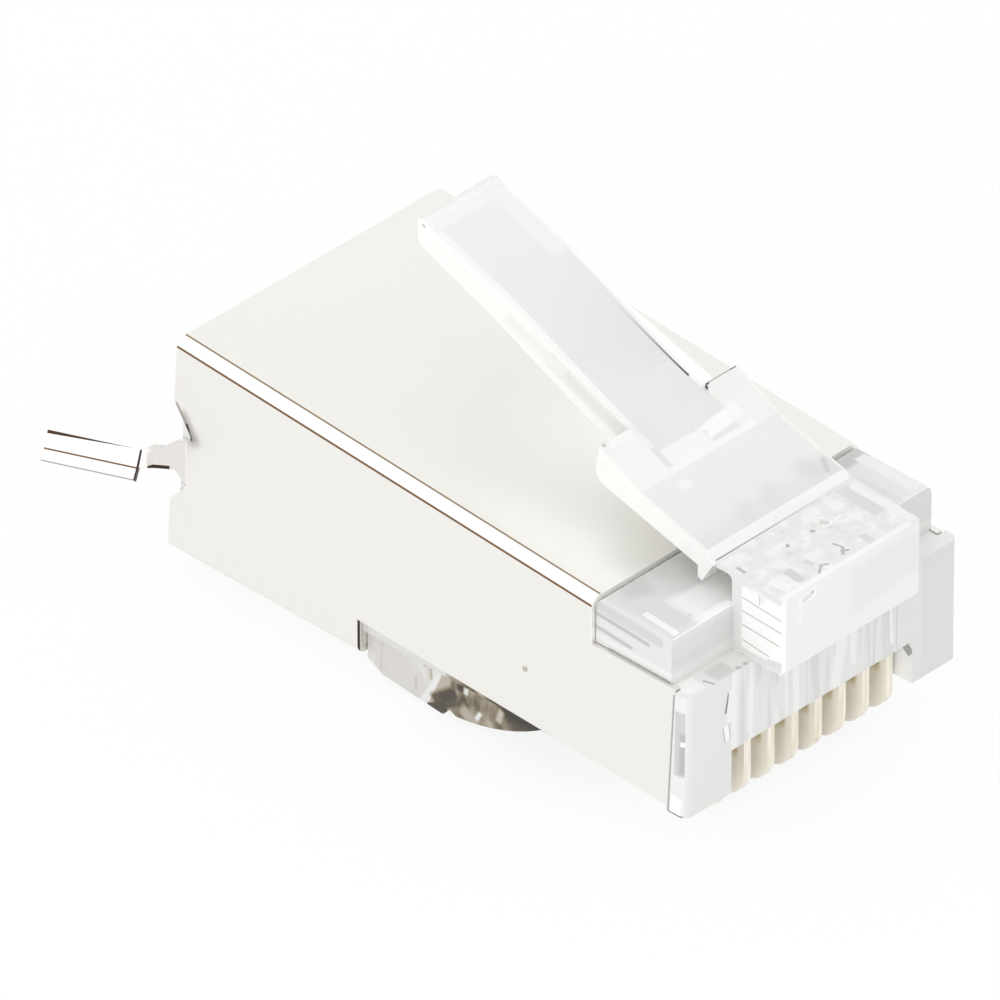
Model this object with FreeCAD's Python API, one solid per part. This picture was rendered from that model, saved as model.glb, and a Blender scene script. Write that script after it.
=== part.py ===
import FreeCAD, Part
import math
import os

# Shielded eight-way ethernet plug, in millimetres.
# X runs across the plug, Y from the contact face to the cable, Z up from the nose's underside.
# The origin is the middle of the nose's lower front edge. The latch is on top, the contacts below.

# Nose, the clear front end that enters the jack
nose_width = 11.68
nose_height = 5.95
nose_length = 3.95
upper_nose_width = 11.10
upper_nose_setback = 0.85
shelf_height = 4.30
pillar_top_length = 0.52
pillar_lean = 0.26
pillar_round = 0.30
rail_round = 0.30

# Block on the nose that the latch grows from
root_width = 5.90
root_overhang = 1.16
root_front_rise = 1.00
root_rear_rise = 1.18
root_round = 0.12
web_thickness = 0.23
undercut_start = 0.90
undercut_round = 0.20
gate_mark_radius = 0.16
gate_mark_depth = 0.20
gate_mark_x = 0.75
gate_mark_y = 0.70

# Folded shield
shield_width = 11.40
sheet = 0.20
shield_clearance = 0.02
bend_radius = 0.36
shield_rear = 21.06
shield_rear_height = 7.02
shield_rear_lean = 0.48
shield_bottom = -0.80
wrap_length = 7.46
side_edge_front = 0.05
side_edge_rear = 0.50
side_step_height = 4.35
edge_gap = 0.03
seam_gap = 0.40
pip_radius = 0.11
pip_depth = 0.08
pip_y = 6.68
pip_z = 2.11

# Ground tail at the rear of the shield's near side
tail_root_setback = 0.36
tail_root_top = 3.44
tail_root_bottom = 1.87
upper_notch_setback = 0.53
upper_notch_round = 0.25
upper_notch_reach = 4.75
lower_notch_setback = 0.22
lower_notch_round = 0.10
lower_notch_reach = 1.08
neck_length = 1.36
neck_splay = 36.5
neck_top = 3.17
neck_bottom = 2.45
neck_taper_start = 0.30
neck_taper_end = 0.65
strip_length = 3.00
strip_splay = 23.5
strip_top = 3.08
strip_crease = 2.62
strip_crease_flare = 0.33
strip_bottom = 2.36
strip_bottom_flare = 0.60
twist_length = 0.35

# Contacts and their comb
contact_count = 8
contact_pitch = 1.016
contact_thickness = 0.30
contact_front = 0.62
contact_length = 3.78
contact_bottom = -1.28
contact_top = 0.95
contact_corner = 0.95
tine_height = 1.07
tine_point_height = 0.32
tine_width = 0.55
tine_offsets = (1.35, 2.75)
slot_clearance = 0.03
slot_top = 3.25
recess_half_width = 3.87
recess_height = 1.53
recess_depth = 1.30
comb_recess = 0.40
comb_end = 5.20

# Wire channels, cable chamber and cable entry
wire_radius = 0.48
wire_height = 2.55
wire_start = 0.95
ridge_gap = 0.50
chamber_start = 8.60
chamber_setback = 3.46
chamber_width = 7.80
chamber_floor = 0.05
chamber_wall = 0.60
funnel_length = 1.20
funnel_half_height = 1.25
entry_radius = 3.20
entry_height = 3.10
entry_overlap = 0.50
entry_chamfer = 0.35
rear_inset = 0.20

# Strain relief that hangs below the body until it is crimped
relief_width = 10.60
relief_start = 6.00
relief_start_z = 0.10
relief_bulge_y = 7.95
relief_bulge_z = -0.95
relief_notch_y = 9.90
relief_notch_z = -1.42
relief_top = 0.35
notch_rise = 0.12
notch_run = 0.28
tongue_tip_y = 10.44
tongue_tip_z = -1.60
tongue_knee_y = 12.94
tongue_knee_z = -1.38
tongue_root_z = -1.05
tongue_half_width = 3.40
tongue_thickness = 0.95
tongue_slot = 0.30
tooth_count = 3
tooth_height = 0.45
tooth_pitch = 0.85
tooth_length = 0.68
tooth_margin = 0.30

# Latch lever, with its heights above the nose's top
hinge_y = 1.68
knuckle_radius = 0.12
knuckle_clearance = 0.03
plate_bevel_y = 1.93
plate_bevel_rise = 1.32
plate_thickness = 0.75
stop_front_y = 2.12
stop_front_rise = 0.18
stop_rear_y = 2.29
stop_rear_rise = 0.25
crease_y = 4.62
crease_rise = 2.09
shoulder_y = 6.32
shoulder_rise = 2.95
shoulder_height = 1.18
shoulder_lean = 0.20
shoulder_round = 0.45
lever_width = 3.16
lever_thickness = 1.12
lever_low_y = 7.55
lever_low_rise = 3.30
lever_bend_y = 11.66
lever_bend_rise = 5.15
lever_end_y = 14.55
lever_end_rise = 6.15
tip_length = 0.55
tip_thickness = 0.85
tip_round = 0.40
lip_height = 0.18

# Helpers of the model: how far a cutter reaches past what it cuts, and how far joined solids overlap
beyond = 1.0
overlap = 0.10

V = FreeCAD.Vector
core_width = shield_width - 2 * (sheet + shield_clearance)
skin = sheet + shield_clearance
hinge_z = nose_height + root_rear_rise - knuckle_radius
tail_root_y = shield_rear - tail_root_setback
chamber_end = shield_rear - chamber_setback
wrap_start = shield_rear - wrap_length
top_slope = (shield_rear_height - nose_height) / (shield_rear - nose_length)


def box(x0, x1, y0, y1, z0, z1):
    return Part.makeBox(x1 - x0, y1 - y0, z1 - z0, V(x0, y0, z0))


def prism_across(outline, half_width):
    """Solid with the given side outline, as (y, z) points, over the width on both sides of the middle."""
    points = [V(-half_width, y, z) for y, z in outline]
    face = Part.Face(Part.makePolygon(points + points[:1]))
    return face.extrude(V(2 * half_width, 0, 0))


def prism_up(outline, z0, z1):
    """Solid with the given plan outline, as (x, y) points, between two heights."""
    points = [V(x, y, z0) for x, y in outline]
    face = Part.Face(Part.makePolygon(points + points[:1]))
    return face.extrude(V(0, 0, z1 - z0))


def rod_across(radius, half_width, y, z):
    return Part.makeCylinder(radius, 2 * half_width, V(-half_width, y, z), V(1, 0, 0))


def edges_where(shape, test):
    """Straight edges whose two end points both pass the test."""
    found = []
    for edge in shape.Edges:
        ends = [vertex.Point for vertex in edge.Vertexes]
        if len(ends) == 2 and all(test(point) for point in ends):
            found.append(edge)
    return found


def near(a, b):
    return abs(a - b) < 0.001


def shield_top(y):
    """Height of the shield's outer top face, which rises towards the cable."""
    return nose_height + top_slope * (y - nose_length)


def rear_edge(z):
    """Y of the shield's rear edge, which leans back towards the underside."""
    share = (shield_rear_height - z) / (shield_rear_height - shield_bottom)
    return shield_rear + shield_rear_lean * share


def pillar_rear(z):
    """Y of the pillars' rear faces, which lean forward towards the shelf."""
    return pillar_top_length + pillar_lean * (shelf_height - z) / shelf_height


def contact_places():
    middle = (contact_count - 1) / 2
    return [(index - middle) * contact_pitch for index in range(contact_count)]


# Housing: the clear moulded body
def housing_core():
    """Main body under the shield, with the pillars and the upper nose in front of it."""
    floor = shield_bottom + skin
    rear_low = rear_edge(floor) - rear_inset
    rear_high = rear_edge(shield_rear_height) - rear_inset
    outline = [
        (0, 0),
        (0, shelf_height),
        (upper_nose_setback, shelf_height),
        (upper_nose_setback, shield_top(upper_nose_setback) - skin),
        (rear_high, shield_top(rear_high) - skin),
        (rear_low, floor),
        (wrap_start, floor),
        (wrap_start, 0),
    ]
    core = prism_across(outline, core_width / 2)
    return core.fuse([pillars(), upper_nose()])


def pillars():
    """Front corners of the nose, which stand in front of the shield's edges, joined across the front."""
    outline = [(0, 0), (0, shelf_height), (pillar_rear(shelf_height), shelf_height), (pillar_rear(0), 0)]
    bar = prism_across(outline, nose_width / 2)
    upright = edges_where(bar, lambda p: near(p.y, 0))
    upright = [edge for edge in upright if near(edge.Length, shelf_height)]
    return bar.makeFillet(pillar_round, upright)


def upper_nose():
    """Full-height part of the nose that the shield stops short of, with soft outer edges."""
    half = upper_nose_width / 2
    low = side_step_height + edge_gap
    block = box(-half, half, upper_nose_setback, nose_length - edge_gap, low, nose_height)
    long_edges = edges_where(block, lambda p: near(abs(p.x), half) and near(p.z, nose_height))
    return block.makeFillet(rail_round, long_edges)


def root_block():
    """Block at the front of the nose that carries the latch on a thin web, with a gap below the web."""
    rear_height = nose_height + root_rear_rise
    outline = [
        (-root_overhang, shelf_height),
        (-root_overhang, nose_height + root_front_rise),
        (hinge_y, rear_height),
        (hinge_y, shelf_height),
    ]
    block = prism_across(outline, root_width / 2)
    front_edges = edges_where(block, lambda p: near(p.y, -root_overhang))
    block = block.makeFillet(root_round, front_edges)
    gap_top = rear_height - web_thickness
    gap = box(-root_width, root_width, undercut_start, hinge_y + beyond, nose_height, gap_top)
    gap_corner = edges_where(gap, lambda p: near(p.y, undercut_start) and p.z > nose_height)
    gap = gap.makeFillet(undercut_round, gap_corner)
    seat = rod_across(knuckle_radius + knuckle_clearance, root_width, hinge_y, hinge_z)
    mark_bottom = V(gate_mark_x, gate_mark_y, rear_height - gate_mark_depth)
    mark = Part.makeCylinder(gate_mark_radius, beyond, mark_bottom)
    return block.cut([gap, seat, mark])


def relief_body():
    """Strain relief below the body: a curved front, a notch, and the tongue up to its root."""
    low_arc = Part.Arc(
        V(-relief_width / 2, relief_start, relief_start_z),
        V(-relief_width / 2, relief_bulge_y, relief_bulge_z),
        V(-relief_width / 2, relief_notch_y, relief_notch_z),
    ).toShape()
    outline = [
        (relief_notch_y, relief_notch_z),
        (relief_notch_y + notch_run, relief_notch_z + notch_rise),
        (tongue_tip_y, tongue_tip_z),
        (tongue_knee_y, tongue_knee_z),
        (wrap_start - edge_gap, tongue_root_z),
        (wrap_start - edge_gap, relief_top),
        (relief_start, relief_top),
        (relief_start, relief_start_z),
    ]
    lines = Part.makePolygon([V(-relief_width / 2, y, z) for y, z in outline])
    face = Part.Face(Part.Wire([low_arc] + lines.Edges))
    return face.extrude(V(relief_width, 0, 0))


def chamber():
    """Space for the cable's jacket, reaching down to the tongue's inner face, with the bore behind it."""
    half = chamber_width / 2
    roof_front = shield_top(chamber_start) - skin - chamber_wall
    roof_rear = shield_top(chamber_end) - skin - chamber_wall
    inner_tip = tongue_tip_z + tongue_thickness
    inner_knee = tongue_knee_z + tongue_thickness
    outline = [
        (chamber_start, chamber_floor),
        (chamber_start, roof_front),
        (chamber_end, roof_rear),
        (chamber_end, chamber_floor),
        (wrap_start, chamber_floor),
        (tongue_knee_y, inner_knee),
        (tongue_tip_y, inner_tip),
        (tongue_tip_y - tongue_slot, inner_tip),
        (relief_notch_y - tongue_slot, chamber_floor),
    ]
    room = prism_across(outline, half)
    bore_start = chamber_end - entry_overlap
    bore_length = shield_rear + beyond - bore_start
    bore = Part.makeCylinder(entry_radius, bore_length, V(0, bore_start, entry_height), V(0, 1, 0))
    return room.fuse([bore, funnel(), wire_channels()])


def entry_lead_in():
    """Chamfer round the mouth of the cable entry."""
    mouth = rear_edge(entry_height) - rear_inset
    wide = entry_radius + 2 * entry_chamfer
    return Part.makeCone(
        entry_radius, wide, 2 * entry_chamfer, V(0, mouth - entry_chamfer, entry_height), V(0, 1, 0)
    )


def funnel():
    """Wedge that leads the wires from the chamber down to their channels."""
    start = chamber_start - funnel_length
    outline = [
        (start, wire_height - wire_radius),
        (start, wire_height + wire_radius),
        (chamber_start + overlap, wire_height + funnel_half_height),
        (chamber_start + overlap, wire_height - funnel_half_height),
    ]
    row_half = contact_count * contact_pitch / 2
    return prism_across(outline, min(row_half, chamber_width / 2))


def wire_channels():
    """Row of round channels, joined by a flat gap so that ridges are left above and below."""
    length = chamber_start - wire_start
    tubes = []
    for x in contact_places():
        tubes.append(Part.makeCylinder(wire_radius, length, V(x, wire_start, wire_height), V(0, 1, 0)))
    reach = (contact_count - 1) * contact_pitch / 2
    half_gap = ridge_gap / 2
    gap = box(-reach, reach, wire_start, chamber_start, wire_height - half_gap, wire_height + half_gap)
    return gap.fuse(tubes)


def contact_slots():
    """Slots for the blades, the recess in front of them and the recess below the comb."""
    half = contact_thickness / 2 + slot_clearance
    front = contact_front - slot_clearance
    rear = contact_front + contact_length + slot_clearance
    cutters = [
        box(-recess_half_width, recess_half_width, -beyond, recess_depth, -beyond, recess_height),
        box(-recess_half_width, recess_half_width, -beyond, comb_end, -beyond, comb_recess),
    ]
    for x in contact_places():
        cutters.append(box(x - half, x + half, front, rear, -beyond, slot_top))
    return cutters


def tongue_slots():
    """Narrow cuts that free the tongue at its sides and tip."""
    inner = tongue_half_width
    outer = tongue_half_width + tongue_slot
    tip_front = tongue_tip_y - tongue_slot
    low = tongue_tip_z - beyond
    high = relief_top + overlap
    return [
        box(-outer, -inner, tip_front, tongue_knee_y, low, high),
        box(inner, outer, tip_front, tongue_knee_y, low, high),
        box(-outer, outer, tip_front, tongue_tip_y, low, high),
    ]


def tongue_teeth():
    """Teeth on the tongue's inner face that bite into the cable's jacket."""
    slope = (tongue_knee_z - tongue_tip_z) / (tongue_knee_y - tongue_tip_y)
    teeth = []
    for index in range(tooth_count):
        y = tongue_tip_y + index * tooth_pitch
        base = tongue_tip_z + tongue_thickness + slope * (y - tongue_tip_y)
        outline = [
            (y, base - overlap),
            (y, base + tooth_height),
            (y + tooth_length, base + tooth_length * slope),
            (y + tooth_length, base - overlap),
        ]
        teeth.append(prism_across(outline, tongue_half_width - tooth_margin))
    return teeth


def make_housing():
    body = housing_core().fuse([root_block(), relief_body()])
    body = body.cut(chamber()).cut(entry_lead_in())
    body = body.cut(contact_slots())
    body = body.cut(tongue_slots())
    body = body.fuse(tongue_teeth())
    return body.removeSplitter()


# Shield: one sheet folded round the body, open under the contacts and the strain relief
def shield_tube(inset, radius):
    """Closed form of the folded sheet, inset evenly from the outer face."""
    half = shield_width / 2 - inset
    low = shield_bottom + inset
    high = shield_top(pillar_top_length) - inset
    start_low = pillar_rear(low) + edge_gap - inset
    start_high = pillar_rear(high) + edge_gap - inset
    end_low = rear_edge(low) + inset
    end_high = rear_edge(shield_rear_height) + inset
    outline = [
        (start_low, low),
        (start_high, high),
        (end_high, shield_top(end_high) - inset),
        (end_low, low),
    ]
    form = prism_across(outline, half)
    long_edges = []
    for edge in form.Edges:
        a = edge.Vertexes[0].Point
        b = edge.Vertexes[1].Point
        if near(a.x, b.x) and abs(a.y - b.y) > 0.5 * shield_rear:
            long_edges.append(edge)
    return form.makeFillet(radius, long_edges)


def shield_cutters():
    """What is stamped out of the sheet: the front of its top, its lower sides and the seam below."""
    out = shield_width
    below = shield_bottom - beyond
    front = -beyond
    front_top = box(-out, out, front, nose_length, side_step_height, nose_height + beyond)
    underside = prism_across(
        [
            (front, below),
            (front, side_edge_front),
            (pillar_rear(0), side_edge_front),
            (wrap_start, side_edge_rear),
            (wrap_start, below),
        ],
        out,
    )
    seam_start = wrap_start - beyond
    seam_end = rear_edge(shield_bottom) + beyond
    seam = box(-seam_gap / 2, seam_gap / 2, seam_start, seam_end, below, chamber_floor)
    return [front_top, underside, seam]


def tail_notch(setback, edge, radius, reach):
    """Relief notch beside the tail's root: round at its blind end, and widening to the rear edge."""
    up = 1 if reach > edge else -1
    middle_y = shield_rear - setback + radius
    middle_z = edge + up * radius
    slant = radius * math.sqrt(0.5)
    past_edge = rear_edge(shield_bottom) + beyond
    outline = [
        (middle_y, edge),
        (middle_y - slant, middle_z + up * slant),
        (rear_edge(reach), reach),
        (past_edge, reach),
        (past_edge, edge),
    ]
    return prism_across(outline, shield_width).fuse(rod_across(radius, shield_width, middle_y, middle_z))


def tail_opening():
    """What is stamped out of the near side round the tail: two notches, and the place of the bent neck."""
    past_edge = rear_edge(shield_bottom) + beyond
    x0 = -shield_width / 2 - beyond
    near_wall = box(x0, x0 + beyond + 2 * sheet, 0, past_edge, shield_bottom, shield_rear_height)
    cleared = box(-shield_width, 0, tail_root_y, past_edge, tail_root_bottom, tail_root_top)
    upper = tail_notch(upper_notch_setback, tail_root_top, upper_notch_round, upper_notch_reach)
    lower = tail_notch(lower_notch_setback, tail_root_bottom, lower_notch_round, lower_notch_reach)
    return cleared.fuse([upper, lower]).common(near_wall)


def direction(splay):
    """Level direction to the rear that leaves the shield's near side at the given angle."""
    angle = math.radians(splay)
    return V(-math.sin(angle), math.cos(angle), 0)


def inward(splay):
    """Level direction from the outer to the inner face of a part of the tail."""
    angle = math.radians(splay)
    return V(math.cos(angle), math.sin(angle), 0)


def tail_corners():
    """Plan points of the tail's outer face where the neck leaves the side and where the strip begins."""
    root = V(-shield_width / 2, tail_root_y, 0)
    return root, root + direction(neck_splay) * neck_length


def tail_neck():
    """Neck of the tail: bent out of the side, and narrowing to the strip."""
    root, bend = tail_corners()
    end = bend - direction(neck_splay) * twist_length
    half_turn = math.radians(neck_splay / 2)
    plan = [
        root - V(0, 2 * sheet, 0),
        root,
        end,
        end + inward(neck_splay) * sheet,
        root + V(sheet, sheet * math.tan(half_turn), 0),
        root + V(sheet, -2 * sheet, 0),
    ]
    plate = prism_up([(p.x, p.y) for p in plan], tail_root_bottom, tail_root_top + sheet)
    side = [
        (tail_root_y - 3 * sheet, tail_root_bottom),
        (tail_root_y - 3 * sheet, tail_root_top),
        (tail_root_y + neck_taper_start, tail_root_top),
        (tail_root_y + neck_taper_end, neck_top),
        (bend.y, neck_top),
        (bend.y, neck_bottom),
        (tail_root_y + neck_taper_end, neck_bottom),
        (tail_root_y + neck_taper_start, neck_bottom),
        (tail_root_y, tail_root_bottom),
    ]
    return plate.common(prism_across(side, shield_width))


def strip_section():
    """Cross-section of the strip as (flare, height): the outer points, then the inner ones."""
    outer = [(0, strip_top), (strip_crease_flare, strip_crease), (strip_bottom_flare, strip_bottom)]
    normals = []
    for (flare_a, z_a), (flare_b, z_b) in zip(outer, outer[1:]):
        length = math.hypot(flare_b - flare_a, z_b - z_a)
        normals.append(((z_b - z_a) / length, (flare_a - flare_b) / length))
    (ax, az), (bx, bz) = normals
    mitre = sheet / (1 + ax * bx + az * bz)
    steps = [(sheet * ax, sheet * az), (mitre * (ax + bx), mitre * (az + bz)), (sheet * bx, sheet * bz)]
    inner = [(flare + step[0], z + step[1]) for (flare, z), step in zip(outer, steps)]
    return outer, inner


def tail_strip():
    """Clamp strip: a sheet with one lengthwise crease, flared below, and the twist that leads to it."""
    bend = tail_corners()[1]
    across = inward(strip_splay)
    outer, inner = strip_section()
    start_outer = [bend - across * flare + V(0, 0, z) for flare, z in outer]
    start_inner = [bend - across * flare + V(0, 0, z) for flare, z in inner]
    face = Part.Face(Part.makePolygon(start_outer + start_inner[::-1] + start_outer[:1]))
    strip = face.extrude(direction(strip_splay) * strip_length)
    neck_end = bend - direction(neck_splay) * twist_length
    neck_inner = neck_end + inward(neck_splay) * sheet
    first = [
        neck_end + V(0, 0, neck_top),
        neck_end + V(0, 0, neck_bottom),
        neck_inner + V(0, 0, neck_bottom),
        neck_inner + V(0, 0, neck_top),
    ]
    second = [start_outer[0], start_outer[1], start_inner[1], start_inner[0]]
    loops = [Part.makePolygon(points + points[:1]) for points in (first, second)]
    return strip.fuse(Part.makeLoft(loops, True, True))


def make_shield():
    outer = shield_tube(0, bend_radius)
    inner = shield_tube(sheet, bend_radius - sheet)
    sheet_form = outer.cut(inner).cut(shield_cutters())
    pip = Part.makeCylinder(pip_radius, pip_depth, V(-shield_width / 2, pip_y, pip_z), V(1, 0, 0))
    sheet_form = sheet_form.cut([tail_opening(), pip])
    sheet_form = sheet_form.fuse([tail_neck(), tail_strip()])
    return sheet_form.removeSplitter()


# Contacts: eight gold-plated blades in one row
def make_contact(x):
    """Blade with rounded lower corners and two tines that pierce the wire's insulation."""
    rear = contact_front + contact_length
    outline = [(contact_front, contact_bottom), (contact_front, contact_top)]
    for offset in tine_offsets:
        left = contact_front + offset
        right = left + tine_width
        tip = contact_top + tine_height
        outline.append((left, contact_top))
        outline.append((left, tip - tine_point_height))
        outline.append((left + tine_width / 2, tip))
        outline.append((right, tip - tine_point_height))
        outline.append((right, contact_top))
    outline.append((rear, contact_top))
    outline.append((rear, contact_bottom))
    blade = prism_across(outline, contact_thickness / 2)
    corners = edges_where(
        blade,
        lambda p: near(p.z, contact_bottom) and (near(p.y, contact_front) or near(p.y, rear)),
    )
    corners = [edge for edge in corners if near(edge.Length, contact_thickness)]
    blade = blade.makeFillet(contact_corner, corners)
    blade.translate(V(x, 0, 0))
    return blade


# Latch lever: a wide plate with locking shoulders, and a narrow lever behind it
def above_nose(rise):
    return nose_height + rise


def plate_underside(y):
    """Height of the plate's underside, which thickens from the hinge to the shoulders."""
    front = above_nose(plate_bevel_rise) - plate_thickness
    rear = above_nose(shoulder_rise) - shoulder_height
    share = (y - plate_bevel_y) / (shoulder_y + shoulder_lean - plate_bevel_y)
    return front + share * (rear - front)


def latch_plate():
    """Wide plate that turns on its rounded front edge, with a stop below it and two locking shoulders."""
    rear_low = (shoulder_y + shoulder_lean, above_nose(shoulder_rise) - shoulder_height)
    outline = [
        (hinge_y, hinge_z + knuckle_radius),
        (plate_bevel_y, above_nose(plate_bevel_rise)),
        (crease_y, above_nose(crease_rise)),
        (shoulder_y, above_nose(shoulder_rise)),
        rear_low,
        (stop_rear_y, plate_underside(stop_rear_y)),
        (stop_rear_y, above_nose(stop_rear_rise)),
        (stop_front_y, above_nose(stop_front_rise)),
        (hinge_y, hinge_z - knuckle_radius),
    ]
    plate = prism_across(outline, root_width / 2)
    corner = edges_where(plate, lambda p: near(p.y, rear_low[0]) and near(p.z, rear_low[1]))
    plate = plate.makeFillet(shoulder_round, corner)
    return plate.fuse(rod_across(knuckle_radius, root_width / 2, hinge_y, hinge_z))


def shoulder_gap():
    """Space between the two shoulders, whose ramps stand above the lever's top."""
    low = above_nose(crease_rise)
    high = above_nose(lever_low_rise)
    above = high + shoulder_height
    outline = [(crease_y, low), (lever_low_y, high), (lever_low_y, above), (crease_y, above)]
    return prism_across(outline, lever_width / 2)


def lever_arm():
    """Narrow lever that bends once and has a rounded tip with a low lip across it."""
    end = lever_end_y + tip_length
    low_z = above_nose(lever_low_rise)
    bend_z = above_nose(lever_bend_rise)
    end_z = above_nose(lever_end_rise)
    tip_z = end_z + lip_height / 2
    outline = [
        (crease_y, above_nose(crease_rise)),
        (lever_low_y, low_z),
        (lever_bend_y, bend_z),
        (lever_end_y, end_z),
        (lever_end_y + tip_length / 2, end_z + lip_height),
        (end, tip_z),
        (end, tip_z - tip_thickness),
        (lever_bend_y, bend_z - lever_thickness),
        (lever_low_y, low_z - lever_thickness),
        (shoulder_y, plate_underside(shoulder_y)),
        (crease_y, plate_underside(crease_y)),
    ]
    arm = prism_across(outline, lever_width / 2)
    tip = edges_where(arm, lambda p: near(p.y, end) and near(p.z, tip_z - tip_thickness))
    return arm.makeFillet(tip_round, tip)


def make_latch_lever():
    plate = latch_plate().cut(shoulder_gap())
    return plate.fuse(lever_arm()).removeSplitter()


os.makedirs("parts", exist_ok=True)
make_housing().exportStep("parts/housing.step")
make_shield().exportStep("parts/shield.step")
make_latch_lever().exportStep("parts/latch_lever.step")
for number, place in enumerate(contact_places(), start=1):
    make_contact(place).exportStep("parts/contact_%d.step" % number)
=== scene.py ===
import math

import bpy
from mathutils import Matrix, Vector


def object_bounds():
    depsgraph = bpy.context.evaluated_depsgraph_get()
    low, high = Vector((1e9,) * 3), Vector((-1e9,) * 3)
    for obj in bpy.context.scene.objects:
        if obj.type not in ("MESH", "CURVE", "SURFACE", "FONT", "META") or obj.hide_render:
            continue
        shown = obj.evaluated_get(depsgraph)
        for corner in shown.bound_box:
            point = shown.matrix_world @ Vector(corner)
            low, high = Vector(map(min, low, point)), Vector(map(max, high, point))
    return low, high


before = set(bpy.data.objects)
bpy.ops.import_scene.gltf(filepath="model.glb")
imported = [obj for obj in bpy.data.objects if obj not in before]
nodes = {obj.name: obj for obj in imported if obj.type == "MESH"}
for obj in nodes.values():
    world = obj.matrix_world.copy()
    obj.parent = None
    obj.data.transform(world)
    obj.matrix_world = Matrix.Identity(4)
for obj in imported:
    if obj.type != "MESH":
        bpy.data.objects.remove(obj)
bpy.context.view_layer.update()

MM = 0.001
scene = bpy.context.scene

# Camera: where the photograph was taken from, round the middle of the plug
view_azimuth = -45.93
view_elevation = 34.91
view_distance = 727.6 * MM
view_lens = 882.0
view_sensor = 36.0
view_target = Vector((0.0, 11.0, 3.5)) * MM
view_side_step = -1.598 * MM
view_up_step = -0.222 * MM
view_nearest = 0.01
view_farthest = 10.0

# Studio: floor, and lamps that all stand at one distance from the middle of the plug
floor_size = 0.60
floor_gap = 0.02 * MM
floor_glow = 0.88
lamp_distance = 0.16
lamp_size = 0.08
key_power = 0.008
fill_power = 0.050
front_power = 0.016

# Clear plastic: the share of light that passes as through glass, the latch's opacity, the refraction
clear_transmission = 0.08
latch_alpha = 0.88
clear_ior = 1.50

# Softened edges: their widths, and the angles in degrees that count as flat and as sharp
housing_softness = 0.04 * MM
latch_softness = 0.08 * MM
weld_distance = 0.0005 * MM
flat_angle = 0.5
sharp_angle = 30

# Sizes of the part that the materials use, in millimetres
nose_height = 5.95
shelf_height = 4.30
rail_front = 0.85
recess_half_width = 3.87
block_half_width = 2.95
block_top_front = 6.95
block_top_rear = 7.13
relief_front = 6.00
crease_y = 4.62
lever_half_width = 1.58
lever_end = 15.10
shield_front = 3.95
shield_half_width = 5.70
shield_slope = 0.0625
fold_radius = 0.36
line_depth = 0.24
wrap_front = 13.60

# Ground tail, in millimetres: where the neck ends, and the strip's direction in X and Y,
# its start along that direction and its length
neck_end = -6.48
strip_direction = (-0.399, 0.917)
strip_start = 22.577
strip_length = 3.00


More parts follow.
